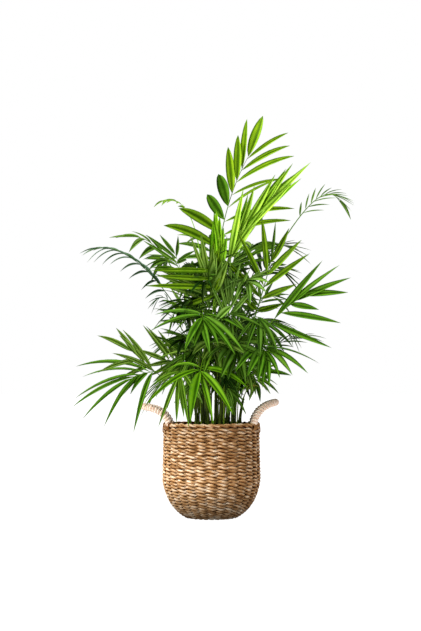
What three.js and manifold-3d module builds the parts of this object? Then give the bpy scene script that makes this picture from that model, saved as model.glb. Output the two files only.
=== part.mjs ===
// A parlour palm in a round wicker basket with two rope handles.
// Millimetres, +Z up, the origin under the middle of the basket, the front faces -Y.

import * as THREE from "three";
import { mergeVertices } from "three/addons/utils/BufferGeometryUtils.js";
import Module from "manifold-3d";

const wasm = await Module();
wasm.setup();

// What touching pieces keep between them, what leaflets keep from other fronds, and how close
// two corners lie that count as one
const SEAT_GAP = 0.3;
const LEAF_GAP = 0.45;
const WELD = 1e-4;

// The basket: a nearly straight wall on a small flat foot, with a thick rope border
const BASKET = {
  radius: 100,
  mouthRadius: 98,
  footRadius: 52,
  wall: 6,
  floor: 7,
  wallTop: 180,
  cornerTop: 75,
  cornerPull: [92, 20],
  cornerSteps: 5,
  hollowSteps: 4,
  hollowLift: 0.6,
  facets: 32,
};
const BORDER = { middle: 94.5, radius: 6.4, flat: 0.75, facets: 32, sides: 8 };
const SOIL = { top: 188, edge: [[91.3, 177], [85.8, 180], [76, 188]], facets: 32 };

// The handles: rope loops that stand on the border and flop outwards
const HANDLE = { radius: 6.8, halfSpan: 44, fullness: 0.7, steps: 18, sides: 8, foot: [86, 187] };
const RIGHT_LOOP = { side: 1, rise: [92, 225], crest: [131, 233] };
const LEFT_LOOP = { side: -1, rise: [92, 220], crest: [138, 224] };
const FINGER_GAP = { inner: 103, outer: 116, halfWidth: 20, low: 188, high: 246 };

// The canes: where each leaves the soil, where it ends, and how thick it is
const CANE = {
  footRadius: 3.3,
  topRadius: 2.5,
  flare: 1.5,
  flareHeight: 14,
  sides: 6,
  steps: 4,
  crowding: 1.6,
};
const CANES = [
  { foot: [-28, -22], top: [-42, -30, 318] },
  { foot: [-6, -38], top: [-12, -58, 335] },
  { foot: [18, -32], top: [26, -48, 345] },
  { foot: [42, -16], top: [58, -24, 312] },
  { foot: [-16, 6], top: [-26, 4, 392] },
  { foot: [8, -4], top: [8, 0, 410] },
  { foot: [34, 12], top: [48, 16, 395] },
  { foot: [-6, 34], top: [-14, 48, 372] },
  { foot: [24, 40], top: [34, 58, 350] },
  { foot: [57, -2], top: [65, -8, 240] },
];

// The rib of a frond
const RIB = { rootRadius: 2.1, tipRadius: 1.1, steps: 7, sides: 3 };

// A leaflet's section in shares of its width and length, and how plain leaflets stand along a rib:
// both of a pair swing a few degrees, and those in the middle are the longest
const LEAFLET = {
  sunk: 0.3,
  widest: 0.42,
  fold: 0.12,
  thickness: 0.012,
  lastStart: 0.98,
  swing: 4,
  swingStep: 2.4,
  leastLength: 0.7,
  leastWidth: 0.8,
  swellStart: 0.15,
  swellRun: 0.75,
  endLength: 0.85,
};

// The fronds. Each leaves a cane at a share of its height, bends over one point and ends at its
// tip. The rest says where its leaflets start, how many pairs there are, how long and wide the
// longest is, how far they open from the rib, how far they sag, which way the blade faces, and how
// far along from one pair to the next the left and the right leaflet stand. Of a list, two values
// ease from the first pair to the last, and more are one for each pair. The end leaflet has its
// own opening, length and width.
const PLAIN = {
  bare: 0.45,
  pairs: 6,
  leaf: 88,
  width: 12,
  left: [68, 25],
  right: [68, 25],
  leftLeaf: null,
  rightLeaf: null,
  leftWidth: null,
  rightWidth: null,
  leftSag: null,
  rightSag: null,
  endOpen: 0,
  endLeaf: null,
  endWidth: null,
  shift: [0.15, 0.6],
  sag: 0.3,
  easing: 1.6,
  face: [0, 0, 1],
  tone: "mid",
};
const FRONDS = [
  // The tall one and the two that are still unfolding
  { name: "top", cane: 5, at: 1, over: [4, 4, 610], tip: [77, 20, 746], bare: 0.36, pairs: 7, width: 15,
    left: [61, 61, 47, 32, 24, 20, 19], leftLeaf: [145, 114, 66, 72, 102, 102, 112],
    leftWidth: [18, 20, 19, 21, 19, 15, 13], leftSag: [0.4, 0.2, 0.1, 0.05, 0.02, 0, 0],
    right: [54, 54, 36, 41, 33, 28, 21], rightLeaf: [162, 160, 134, 124, 152, 130, 116],
    rightWidth: [11, 11, 7, 7, 12, 11, 9], rightSag: [0.26, 0.26], endOpen: -9, endLeaf: 96, endWidth: 21,
    sag: 0.02, face: [0, -1, 0.1], tone: "fresh", shift: [0.15, 1] },
  { name: "spear_right", cane: 2, at: 1, over: [8, -38, 520], tip: [84, -26, 612], bare: 0.55, pairs: 6,
    width: 13, left: [5, 4, 5, -3, -4, -2], leftLeaf: [154, 130, 132, 152, 158, 158],
    right: [14, 15, 16, 16, 16, 9], rightLeaf: [136, 132, 154, 152, 156, 178], sag: 0.02, endLeaf: 138,
    endOpen: 5, face: [0.2, -1, 0.3], tone: "lime" },
  { name: "spear_left", cane: 1, at: 1, over: [10, -54, 440], tip: [10, -50, 515], bare: 0.72, pairs: 3,
    width: 14, left: [9, 6, 4], leftLeaf: [106, 112, 118], right: [11, 7, 3], rightLeaf: [90, 94, 102],
    sag: 0, endLeaf: 108, face: [0, -1, 0], tone: "lime" },

  // The two that point at the viewer
  { name: "front_low", cane: 1, at: 0.86, over: [-12, -130, 345], tip: [-22, -172, 290], bare: 0.88,
    pairs: 3, left: [149, 104, 53], leftLeaf: [116, 92, 88], leftWidth: [10, 12, 13], right: [121, 75, 3],
    rightLeaf: [92, 108, 88], rightWidth: [8, 11, 21], endOpen: -25, endLeaf: 90, endWidth: 9, sag: 0.5,
    face: [0, -0.3, 1], tone: "fresh" },
  { name: "front_middle", cane: 4, at: 0.86, over: [-14, -110, 448], tip: [-18, -150, 392], bare: 0.85,
    pairs: 4, width: 10, left: [76, 47, 41, 31], leftLeaf: [84, 112, 100, 66], right: [114, 82, 22, 12],
    rightLeaf: [105, 102, 80, 60], endOpen: -16, endLeaf: 70, sag: 0.25, face: [0, -0.6, 1],
    tone: "fresh" },

  // The right side
  { name: "right_middle", cane: 3, at: 1, over: [93, -42, 418], tip: [120, -30, 516], bare: 0.5, pairs: 4,
    width: 11, left: [62, 58, 43, 21], leftLeaf: [34, 112, 122, 124], right: [57, 50, 37, 28],
    rightLeaf: [58, 80, 116, 102], endOpen: 12, endLeaf: 86, sag: 0.06, face: [0, -1, 0.2], tone: "fresh",
    shift: [0.15, 0.05] },
  { name: "right", cane: 3, at: 0.85, over: [102, -58, 392], tip: [178, -74, 446], bare: 0.58, pairs: 3,
    width: 13, left: [5, -2, -13], leftLeaf: [158, 150, 130], right: [68, 49, 47],
    rightLeaf: [128, 124, 60], endOpen: 28, endLeaf: 96, sag: 0.08, face: [0, -1, 0.3], tone: "fresh",
    shift: [0.35, 0.05] },
  { name: "right_low", cane: 3, at: 0.68, over: [82, -92, 374], tip: [105, -140, 331], bare: 0.8,
    pairs: 4, left: [67, 36, 20, 1], leftLeaf: [116, 98, 78, 70], leftWidth: [8, 9, 11, 13],
    right: [60, 44, 32, 27], rightLeaf: [92, 90, 92, 88], rightWidth: [13, 14, 11, 11], endOpen: 18,
    endLeaf: 80, sag: 0.3, face: [0, -0.3, 1], tone: "fresh" },
  { name: "right_foot", cane: 9, at: 1, over: [72, -16, 262], tip: [78, -26, 266], bare: 0.5, pairs: 3,
    leaf: 24, width: 6, left: [66, 30], right: [66, 30], sag: 0.5, tone: "yellowing" },
  { name: "right_wispy", cane: 8, at: 1, over: [222, 92, 746], tip: [276, 98, 668], bare: 0.5, pairs: 9,
    leaf: 54, width: 5, left: [40, 14], right: [46, 16], sag: 0.2, face: [0, -0.7, 1], tone: "olive" },
  { name: "right_back", cane: 8, at: 0.76, over: [95, 105, 610], tip: [172, 126, 566], bare: 0.5,
    pairs: 7, leaf: 66, width: 7, sag: 0.35, tone: "dark" },
  { name: "right_shade", cane: 6, at: 0.95, over: [105, 62, 560], tip: [156, 84, 506], bare: 0.45,
    pairs: 7, leaf: 72, width: 9, sag: 0.3, face: [0, -0.5, 1], tone: "dark" },

  // The left side
  { name: "left_high", cane: 7, at: 0.72, over: [-130, 60, 560], tip: [-238, 78, 561], bare: 0.36,
    pairs: 8, leaf: 54, width: 7, left: [60, 26], right: [7, 5], leftSag: [0.65, 0.65],
    rightLeaf: [58, 50], rightSag: [0.2, 0.4], sag: 0.25, face: [0, -0.4, 1], tone: "bluish" },
  { name: "left_top", cane: 4, at: 1, over: [-96, 2, 573], tip: [-157, 2, 574], bare: 0.45, pairs: 3,
    width: 10, left: [58, 50], leftLeaf: [50, 44], leftSag: [0.6, 0.6], right: [3, 1],
    rightLeaf: [66, 54], rightSag: [0.3, 0.3], endLeaf: 56, endWidth: 10, sag: 0.04, face: [0, -0.5, 1],
    tone: "olive" },
  { name: "left_level", cane: 5, at: 0.7, over: [8, -96, 420], tip: [5, -118, 508], bare: 0.62, pairs: 4,
    width: 12, left: [106, 85, 82, 84], leftLeaf: [92, 138, 118, 124], right: [30, 16],
    rightLeaf: [50, 40], endLeaf: 44, endWidth: 7, sag: 0.08, face: [0, -0.9, 0.5], tone: "fresh" },
  { name: "left_small", cane: 1, at: 0.7, over: [-52, -54, 480], tip: [-73, -54, 531], bare: 0.84,
    pairs: 2, width: 8, left: [50, 34], leftLeaf: [92, 90], right: [32, 8], rightLeaf: [40, 54],
    endOpen: -18, endLeaf: 72, sag: 0.05, face: [0, -1, 0.2], tone: "olive" },
  { name: "left_wispy", cane: 7, at: 1, over: [-14, 60, 681], tip: [-100, 90, 665], bare: 0.68, pairs: 4,
    leaf: 32, width: 7, left: [60, 30], right: [60, 30], sag: 0.3, tone: "lime" },
  { name: "left_tuft", cane: 7, at: 0.5, over: [-62, 62, 412], tip: [-108, 72, 428], bare: 0.6, pairs: 5,
    leaf: 38, width: 5, sag: 0.5, tone: "dark" },
  { name: "left_middle", cane: 4, at: 0.7, over: [0, -70, 420], tip: [-2, -96, 466], bare: 0.7, pairs: 4,
    width: 10, left: [74, 65, 61, 18], leftLeaf: [118, 126, 134, 130], right: [17, 14, 7, 3],
    rightLeaf: [102, 86, 86, 94], rightWidth: [14, 15, 14, 13], endOpen: -7, endLeaf: 116, endWidth: 14,
    sag: 0.1, face: [0, -0.9, 0.5] },
  { name: "left_fan", cane: 0, at: 1, over: [-62, -46, 320], tip: [-88, -62, 316], bare: 0.3, pairs: 4,
    width: 10, left: [38, 33, 23, 5], leftLeaf: [82, 82, 74, 64], right: [45, 58, 55, 62],
    rightLeaf: [62, 74, 90, 88], endOpen: 28, endLeaf: 66, sag: 0, face: [0, -1, 0.1], tone: "mid" },
  { name: "left_low", cane: 0, at: 0.48, over: [-82, -60, 262], tip: [-155, -88, 333], bare: 0.66,
    pairs: 3, width: 12, left: [3, 47, 42], leftLeaf: [110, 70, 90], right: [19, 12, 15],
    rightLeaf: [112, 88, 80], endOpen: -8, endLeaf: 88, sag: 0.25, face: [0, -1, 0.3], tone: "mid" },
  { name: "left_foot", cane: 0, at: 0.68, over: [-92, -82, 312], tip: [-152, -112, 282], bare: 0.68,
    pairs: 4, width: 11, left: [45, 21, 12, 23], leftLeaf: [134, 54, 68, 108], leftSag: [0.45, 0.45],
    right: [63, 54, 27, 22], rightLeaf: [172, 132, 130, 124], rightSag: [0.32, 0.32], endOpen: -3,
    endLeaf: 118, sag: 0.26, face: [0, -0.6, 0.8], tone: "fresh" },
  { name: "left_back_low", cane: 7, at: 0.3, over: [-66, 66, 316], tip: [-112, 76, 264], bare: 0.5,
    pairs: 5, leaf: 74, width: 9, sag: 0.5, tone: "mid" },

  // The middle of the front
  { name: "centre_high", cane: 2, at: 0.84, over: [30, -80, 380], tip: [36, -88, 432], bare: 0.66,
    pairs: 3, left: [30, 20, 12], leftLeaf: [110, 110, 106], leftWidth: [7, 8, 9], right: [34, 20, 8],
    rightLeaf: [86, 96, 92], rightWidth: [10, 8, 7], endOpen: -6, endLeaf: 84, endWidth: 9, sag: 0.04,
    face: [0, -1, 0], tone: "olive" },
  { name: "centre", cane: 2, at: 0.66, over: [30, -100, 440], tip: [36, -128, 398], bare: 0.76, pairs: 4,
    leaf: 68, width: 8, left: [82, 34], right: [82, 34], sag: 0.2, face: [0, -0.8, 1], tone: "mid" },
  { name: "centre_low", cane: 2, at: 0.48, over: [38, -112, 386], tip: [50, -138, 336], bare: 0.7,
    pairs: 4, leaf: 80, width: 12, left: [78, 30], right: [78, 30], sag: 0.16, face: [0, -0.8, 1],
    tone: "dark" },
  { name: "front_right", cane: 3, at: 0.5, over: [76, -100, 440], tip: [94, -128, 392], bare: 0.84,
    pairs: 3, left: [3, -5, -8], leftLeaf: [88, 102, 68], leftWidth: [7, 17, 10], right: [57, 43, 22],
    rightLeaf: [90, 84, 78], rightWidth: [10, 12, 16], sag: 0.25, endOpen: 16, endLeaf: 62,
    face: [0, -0.8, 1] },
  { name: "front_left", cane: 0, at: 0.85, over: [-52, -96, 340], tip: [-65, -120, 278], bare: 0.82,
    pairs: 3, width: 9, left: [48, 24, 20], leftLeaf: [64, 104, 80], right: [63, 10, 9],
    rightLeaf: [64, 102, 60], endOpen: -10, endLeaf: 80, sag: 0.3, face: [0, -0.8, 1] },
  { name: "inner_front", cane: 1, at: 0.6, over: [-6, -98, 376], tip: [4, -126, 342], bare: 0.6, pairs: 4,
    leaf: 74, width: 13, sag: 0.2, face: [0, -0.8, 1] },
  { name: "inner_left", cane: 4, at: 0.25, over: [-42, -60, 372], tip: [-52, -100, 356], bare: 0.6,
    pairs: 5, leaf: 70, width: 12, sag: 0.25, face: [0, -0.8, 1], tone: "dark" },
  { name: "inner_right", cane: 6, at: 0.26, over: [92, -28, 352], tip: [90, -84, 350], bare: 0.6,
    pairs: 5, leaf: 66, width: 11, sag: 0.25, face: [0, -0.8, 1], tone: "dark" },
  { name: "inner_low", cane: 3, at: 0.32, over: [56, -84, 326], tip: [66, -114, 300], bare: 0.55,
    pairs: 4, leaf: 62, width: 11, sag: 0.3, face: [0, -0.8, 1] },
  { name: "inner_high", cane: 6, at: 0.7, over: [70, -40, 500], tip: [72, -86, 470], bare: 0.6, pairs: 5,
    leaf: 78, width: 13, sag: 0.2, face: [0, -0.8, 1], tone: "olive" },

  // The back
  { name: "back_high", cane: 6, at: 0.78, over: [80, 96, 590], tip: [96, 160, 576] },
  { name: "back_top", cane: 5, at: 0.84, over: [4, 70, 600], tip: [-10, 130, 590], tone: "olive" },
  { name: "back_left_high", cane: 4, at: 0.55, over: [-62, 80, 570], tip: [-100, 130, 540], leaf: 76 },
  { name: "back_left", cane: 7, at: 0.86, over: [-56, 142, 500], tip: [-84, 214, 430], pairs: 7,
    leaf: 96 },
  { name: "back", cane: 8, at: 0.68, over: [40, 150, 520], tip: [48, 236, 440], pairs: 7, leaf: 96 },
  { name: "back_right", cane: 8, at: 0.54, over: [94, 140, 460], tip: [122, 184, 392], pairs: 7,
    leaf: 78 },
  { name: "back_low", cane: 7, at: 0.14, over: [-26, 130, 380], tip: [-30, 206, 316], tone: "dark" },
  { name: "back_right_low", cane: 8, at: 0.4, over: [64, 120, 350], tip: [84, 176, 300], leaf: 74,
    tone: "dark" },
  { name: "back_left_low", cane: 4, at: 0.4, over: [-70, 86, 400], tip: [-96, 148, 350], leaf: 76,
    tone: "dark" },
  { name: "side_right", cane: 6, at: 0.6, over: [128, 56, 450], tip: [170, 74, 374], pairs: 7, leaf: 54,
    width: 6, tone: "dark" },
  { name: "side_right_low", cane: 6, at: 0.42, over: [86, 6, 306], tip: [92, -18, 274], bare: 0.62,
    pairs: 4, leaf: 48, width: 9, left: [74, 30], right: [74, 30], sag: 0.35, face: [0, -0.5, 1] },
  { name: "middle", cane: 5, at: 0.66, over: [30, 30, 500], tip: [70, 40, 540], leaf: 84, tone: "dark" },
];

const COLOURS = {
  lime: 0x86c81e,
  fresh: 0x4f9a16,
  mid: 0x3f7c1c,
  olive: 0x5f8430,
  bluish: 0x3f6f3a,
  dark: 0x23491a,
  yellowing: 0x8f9a3a,
  cane: 0x5c6b2c,
  wicker: 0xc39c66,
  rope: 0xe3c9a8,
  soil: 0x241a12,
};

const UP = new THREE.Vector3(0, 0, 1);

function vector(values) {
  return new THREE.Vector3(...values);
}

function paint(colour, roughness) {
  return new THREE.MeshStandardMaterial({ color: COLOURS[colour], roughness, metalness: 0 });
}

function bodyOf(points, faces) {
  const body = new THREE.BufferGeometry();
  body.setFromPoints(points);
  body.setIndex(faces);
  return body;
}

// A closed body through rings of points that all turn the same way
function loft(rings) {
  const sides = rings[0].length;
  const last = (rings.length - 1) * sides;
  const faces = [];
  for (let low = 0; low < last; low += sides) {
    const high = low + sides;
    for (let side = 0; side < sides; side += 1) {
      const next = (side + 1) % sides;
      faces.push(low + side, low + next, high + next, low + side, high + next, high + side);
    }
  }
  for (let side = 1; side + 1 < sides; side += 1) {
    faces.push(0, side + 1, side, last, last + side, last + side + 1);
  }
  return bodyOf(rings.flat(), faces);
}

// A closed body that is pointed at both ends of one ring
function spindle(root, ring, tip) {
  const faces = [];
  for (let side = 1; side <= ring.length; side += 1) {
    const next = (side % ring.length) + 1;
    faces.push(0, next, side, side, next, ring.length + 1);
  }
  return bodyOf([root, ...ring, tip], faces);
}

function toSolid(geometry) {
  const bare = geometry.clone();
  bare.deleteAttribute("normal");
  bare.deleteAttribute("uv");
  const merged = mergeVertices(bare, WELD);
  return new wasm.Manifold(new wasm.Mesh({
    numProp: 3,
    vertProperties: merged.attributes.position.array,
    triVerts: new Uint32Array(merged.index.array),
  }));
}

// The main body of a solid, without the scraps that a cut leaves
function largest(solid) {
  return solid.decompose().sort((one, other) => other.volume() - one.volume())[0];
}

function toGeometry(solid) {
  const mesh = solid.getMesh();
  const geometry = new THREE.BufferGeometry();
  geometry.setAttribute("position", new THREE.BufferAttribute(mesh.vertProperties, 3));
  geometry.setIndex(new THREE.BufferAttribute(mesh.triVerts, 1));
  geometry.computeVertexNormals();
  return geometry;
}

// A body turned about the Z axis from a closed outline of [radius, height] points
function turned(outline, facets) {
  const points = [...outline, outline[0]].map(([radius, height]) => new THREE.Vector2(radius, height));
  const body = new THREE.LatheGeometry(points, facets);
  body.rotateX(Math.PI / 2);
  return body;
}

// The rounded corner from the foot to the wall, moved in by a wall's thickness for the hollow
function cornerPoints(inset, lift, steps) {
  const corner = new THREE.QuadraticBezierCurve(
    new THREE.Vector2(BASKET.footRadius - inset, lift),
    new THREE.Vector2(BASKET.cornerPull[0] - inset, BASKET.cornerPull[1] + inset * BASKET.hollowLift),
    new THREE.Vector2(BASKET.radius - inset, BASKET.cornerTop),
  );
  return corner.getPoints(steps).map((point) => [point.x, point.y]);
}

function basketShell() {
  const outside = [[0, 0], ...cornerPoints(0, 0, BASKET.cornerSteps)];
  const inside = [[0, BASKET.floor], ...cornerPoints(BASKET.wall, BASKET.floor, BASKET.hollowSteps)];
  outside.push([BASKET.mouthRadius, BASKET.wallTop]);
  inside.push([BASKET.mouthRadius - BASKET.wall, BASKET.wallTop]);
  return turned([...outside, ...inside.reverse()], BASKET.facets);
}

// The soil fills the basket and falls a little towards its border
function soilFill() {
  const side = cornerPoints(BASKET.wall + SEAT_GAP, BASKET.floor, BASKET.hollowSteps)
    .map(([radius, height]) => [radius, height + SEAT_GAP]);
  const outline = [[0, BASKET.floor + SEAT_GAP], ...side, ...SOIL.edge, [0, SOIL.top]];
  return turned(outline, SOIL.facets);
}

// The rope border has a flat underside, where it sits on the wall
function borderOutline(growth) {
  const radius = BORDER.radius + growth;
  const flat = BASKET.wallTop + SEAT_GAP - growth;
  const height = BASKET.wallTop + SEAT_GAP + BORDER.radius * BORDER.flat;
  const outline = [];
  for (let side = 0; side < BORDER.sides; side += 1) {
    const turn = ((side + 0.5) / BORDER.sides) * 2 * Math.PI;
    const level = Math.max(flat, height + radius * Math.sin(turn));
    outline.push([BORDER.middle + radius * Math.cos(turn), level]);
  }
  return outline;
}

function basketBorder(growth) {
  return turned(borderOutline(growth), BORDER.facets);
}

// The middle line of a handle, from its front foot over the crest to its back foot
class LoopLine extends THREE.Curve {
  constructor(loop) {
    super();
    this.side = loop.side;
    this.profile = new THREE.QuadraticBezierCurve(
      new THREE.Vector2(...HANDLE.foot),
      new THREE.Vector2(...loop.rise),
      new THREE.Vector2(...loop.crest),
    );
  }

  getPoint(share) {
    const turn = Math.PI * share;
    const place = this.profile.getPoint(Math.sin(turn) ** HANDLE.fullness);
    return new THREE.Vector3(this.side * place.x, -HANDLE.halfSpan * Math.cos(turn), place.y);
  }
}

function handleRope(loop) {
  const corners = [];
  for (let side = 0; side < HANDLE.sides; side += 1) {
    const turn = (side / HANDLE.sides) * 2 * Math.PI;
    corners.push(new THREE.Vector2(Math.cos(turn), Math.sin(turn)).multiplyScalar(HANDLE.radius));
  }
  return new THREE.ExtrudeGeometry(new THREE.Shape(corners), {
    steps: HANDLE.steps,
    extrudePath: new LoopLine(loop),
  });
}

// Each foot of a handle is cut to sit on the border
function handleSolid(loop) {
  const seat = toSolid(basketBorder(SEAT_GAP));
  return largest(toSolid(handleRope(loop)).subtract(seat));
}

function canePoint(cane, share) {
  const foot = new THREE.Vector3(cane.foot[0], cane.foot[1], SOIL.top + SEAT_GAP);
  return foot.lerp(vector(cane.top), share);
}

function caneRadius(cane, share) {
  const height = share * (cane.top[2] - SOIL.top);
  const flare = CANE.flare * Math.max(0, 1 - height / CANE.flareHeight);
  return THREE.MathUtils.lerp(CANE.footRadius, CANE.topRadius, share) + flare;
}

// Level rings, so that the cane is cut flat at the soil
function caneBody(cane, growth) {
  const rings = [];
  for (let step = 0; step <= CANE.steps; step += 1) {
    const share = (step / CANE.steps) ** CANE.crowding;
    const middle = canePoint(cane, share);
    const radius = caneRadius(cane, share) + growth;
    if (step === CANE.steps) middle.z += growth;
    if (step === 0) middle.z -= growth;
    const ring = [];
    for (let side = 0; side < CANE.sides; side += 1) {
      const turn = (side / CANE.sides) * 2 * Math.PI;
      ring.push(new THREE.Vector3(Math.cos(turn), Math.sin(turn), 0).multiplyScalar(radius).add(middle));
    }
    rings.push(ring);
  }
  return loft(rings);
}

// The rib of a frond with the way it runs, its right-hand side and its upper side at each share
class FrondLine {
  constructor(frond) {
    this.face = vector(frond.face).normalize();
    this.curve = new THREE.QuadraticBezierCurve3(
      canePoint(CANES[frond.cane], frond.at),
      vector(frond.over),
      vector(frond.tip),
    );
  }

  // The place lies on the straight stretch between two rings of the rib
  at(share) {
    const before = Math.min(Math.floor(share * RIB.steps), RIB.steps - 1);
    const low = this.curve.getPoint(before / RIB.steps);
    const place = low.lerp(this.curve.getPoint((before + 1) / RIB.steps), share * RIB.steps - before);
    const along = this.curve.getTangent(share);
    const up = this.face.clone().addScaledVector(along, -this.face.dot(along)).normalize();
    return { place, along, up, right: along.clone().cross(up) };
  }
}

function ribBody(line, growth) {
  const rings = [];
  for (let step = 0; step <= RIB.steps; step += 1) {
    const share = step / RIB.steps;
    const { place, up, right } = line.at(share);
    const radius = THREE.MathUtils.lerp(RIB.rootRadius, RIB.tipRadius, share) + growth;
    const ring = [];
    for (let side = 0; side < RIB.sides; side += 1) {
      const turn = ((side + 0.5) / RIB.sides) * 2 * Math.PI;
      const spoke = up.clone().multiplyScalar(Math.cos(turn)).addScaledVector(right, Math.sin(turn));
      ring.push(spoke.multiplyScalar(radius).add(place));
    }
    rings.push(ring);
  }
  return loft(rings);
}

// A leaflet starts inside the rib, is widest before its middle and sags to a pointed tip
function leafletBody(leaflet, growth) {
  const { spot, opening, length, width } = leaflet;
  const angle = THREE.MathUtils.degToRad(opening);
  const way = spot.along.clone().multiplyScalar(Math.cos(angle));
  way.addScaledVector(spot.right, Math.sin(angle)).normalize();
  const sag = leaflet.sag * Math.hypot(way.x, way.y);
  const middleAt = (share) => spot.place.clone()
    .addScaledVector(way, (length + growth) * share)
    .addScaledVector(UP, -sag * length * share * share);
  const root = spot.place.clone().addScaledVector(way, -LEAFLET.sunk);
  const run = way.clone().addScaledVector(UP, -2 * sag * LEAFLET.widest).normalize();
  const up = spot.up.clone().addScaledVector(run, -spot.up.dot(run)).normalize();
  const across = run.clone().cross(up);
  const half = width / 2 + growth;
  const lift = LEAFLET.fold * width + growth / 2;
  const keel = LEAFLET.thickness * length + growth;
  const middle = middleAt(LEAFLET.widest);
  return spindle(root, [
    middle.clone().addScaledVector(across, half).addScaledVector(up, lift),
    middle.clone().addScaledVector(up, -keel),
    middle.clone().addScaledVector(across, -half).addScaledVector(up, lift),
  ], middleAt(1));
}

// Two values ease from the first pair to the last, and a longer list has one for each pair
function eases(values) {
  return values.length === 2;
}

function forPair(values, pair, along, easing = 1) {
  if (!eases(values)) return values[pair];
  return THREE.MathUtils.lerp(values[1], values[0], (1 - along) ** easing);
}

// One leaflet of a pair, on the left (-1) or the right (1) of the rib
function sideLeaflet(frond, line, pair, side) {
  const left = side < 0;
  const opens = left ? frond.left : frond.right;
  const lengths = left ? frond.leftLeaf : frond.rightLeaf;
  const widths = left ? frond.leftWidth : frond.rightWidth;
  const sags = left ? frond.leftSag : frond.rightSag;
  const along = (pair + frond.shift[left ? 0 : 1]) / frond.pairs;
  const swing = eases(opens) ? LEAFLET.swing * Math.sin((pair * 2 + side) * LEAFLET.swingStep) : 0;
  const swell = Math.sin(Math.PI * (LEAFLET.swellStart + LEAFLET.swellRun * along));
  const size = THREE.MathUtils.lerp(LEAFLET.leastLength, 1, swell);
  const width = widths ? forPair(widths, pair, along) : frond.width;
  return {
    spot: line.at(THREE.MathUtils.lerp(frond.bare, LEAFLET.lastStart, along)),
    opening: side * (forPair(opens, pair, along, frond.easing) + swing),
    length: lengths ? forPair(lengths, pair, along) : frond.leaf * size,
    width: width * THREE.MathUtils.lerp(LEAFLET.leastWidth, 1, size),
    sag: sags ? forPair(sags, pair, along) : frond.sag,
  };
}

// Every leaflet of a frond: where it leaves the rib, how far it opens, its length, width and sag
function leafletPlan(frond, line) {
  const plan = [{
    spot: line.at(1),
    opening: frond.endOpen,
    length: frond.endLeaf ?? frond.leaf * LEAFLET.endLength,
    width: frond.endWidth ?? frond.width,
    sag: frond.sag,
  }];
  for (let pair = 0; pair < frond.pairs; pair += 1) {
    plan.push(sideLeaflet(frond, line, pair, -1), sideLeaflet(frond, line, pair, 1));
  }
  return plan;
}

// What stands already, which later leaflets keep clear of
const standing = [];

function stand(solid, owner) {
  standing.push({ solid, owner, box: solid.boundingBox() });
}

function boxesMeet(one, other) {
  return [0, 1, 2].every((axis) => one.min[axis] <= other.max[axis] && other.min[axis] <= one.max[axis]);
}

function isClear(solid, owner) {
  const box = solid.boundingBox();
  return !standing.some((other) => other.owner !== owner
    && boxesMeet(box, other.box)
    && !solid.intersect(other.solid).isEmpty());
}

// The way for fingers through each handle stays open
function fingerGap(side) {
  const width = FINGER_GAP.outer - FINGER_GAP.inner;
  const gap = new THREE.BoxGeometry(width, FINGER_GAP.halfWidth * 2, FINGER_GAP.high - FINGER_GAP.low);
  const middle = (FINGER_GAP.low + FINGER_GAP.high) / 2;
  gap.translate(side * (FINGER_GAP.inner + width / 2), 0, middle);
  return toSolid(gap);
}

const plant = new THREE.Group();

function addPart(name, geometry, material) {
  const mesh = new THREE.Mesh(geometry, material);
  mesh.name = name;
  plant.add(mesh);
}

const shell = basketShell();
const border = basketBorder(0);
const soil = soilFill();
addPart("basket_shell", shell, paint("wicker", 0.85));
addPart("basket_border", border, paint("wicker", 0.85));
addPart("soil", soil, paint("soil", 0.95));
stand(toSolid(shell), "basket");
stand(toSolid(border), "basket");
stand(toSolid(soil), "basket");

for (const [name, loop] of [["handle_left", LEFT_LOOP], ["handle_right", RIGHT_LOOP]]) {
  const handle = handleSolid(loop);
  addPart(name, toGeometry(handle), paint("rope", 0.8));
  stand(handle, name);
  stand(fingerGap(loop.side), name);
}

const canesGrown = CANES.map((cane) => toSolid(caneBody(cane, SEAT_GAP)));
CANES.forEach((cane, index) => {
  addPart(`cane_${index + 1}`, caneBody(cane, 0), paint("cane", 0.7));
  stand(canesGrown[index], "canes");
});

const grown = FRONDS.map((own) => {
  const frond = { ...PLAIN, ...own };
  const line = new FrondLine(frond);
  const solid = largest(toSolid(ribBody(line, 0)).subtract(canesGrown[frond.cane]));
  stand(toSolid(ribBody(line, LEAF_GAP)), frond.name);
  return { frond, line, solid };
});

for (const entry of grown) {
  const { frond, line } = entry;
  for (const leaflet of leafletPlan(frond, line)) {
    if (isClear(toSolid(leafletBody(leaflet, LEAF_GAP)), frond.name)) {
      const blade = toSolid(leafletBody(leaflet, 0));
      entry.solid = entry.solid.add(blade);
      stand(blade, frond.name);
    }
  }
  addPart(`frond_${frond.name}`, toGeometry(largest(entry.solid)), paint(frond.tone, 0.55));
}

export default plant;
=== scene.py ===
# A parlour palm in a round wicker basket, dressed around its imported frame.
# Metres, +Z up, the front faces -Y. The tables of the basket and the fronds are in millimetres.

import math

import bpy
import numpy as np
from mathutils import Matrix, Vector


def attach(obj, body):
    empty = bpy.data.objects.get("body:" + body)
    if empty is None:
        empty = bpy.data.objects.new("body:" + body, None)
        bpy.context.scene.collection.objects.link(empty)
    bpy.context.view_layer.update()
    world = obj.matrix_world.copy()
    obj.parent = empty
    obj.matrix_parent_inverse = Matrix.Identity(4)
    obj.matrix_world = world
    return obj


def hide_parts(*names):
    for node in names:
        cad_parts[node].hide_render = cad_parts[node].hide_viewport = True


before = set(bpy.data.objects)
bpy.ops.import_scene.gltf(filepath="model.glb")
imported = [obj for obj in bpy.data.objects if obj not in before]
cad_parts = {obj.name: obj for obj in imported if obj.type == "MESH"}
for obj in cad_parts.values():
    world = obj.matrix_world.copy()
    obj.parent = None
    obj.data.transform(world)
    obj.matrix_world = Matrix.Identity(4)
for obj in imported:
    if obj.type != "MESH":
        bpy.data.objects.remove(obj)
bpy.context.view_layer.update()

MM = 0.001
UP = np.array([0.0, 0.0, 1.0])
FRONT = np.array([0.0, -1.0, 0.0])
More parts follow.
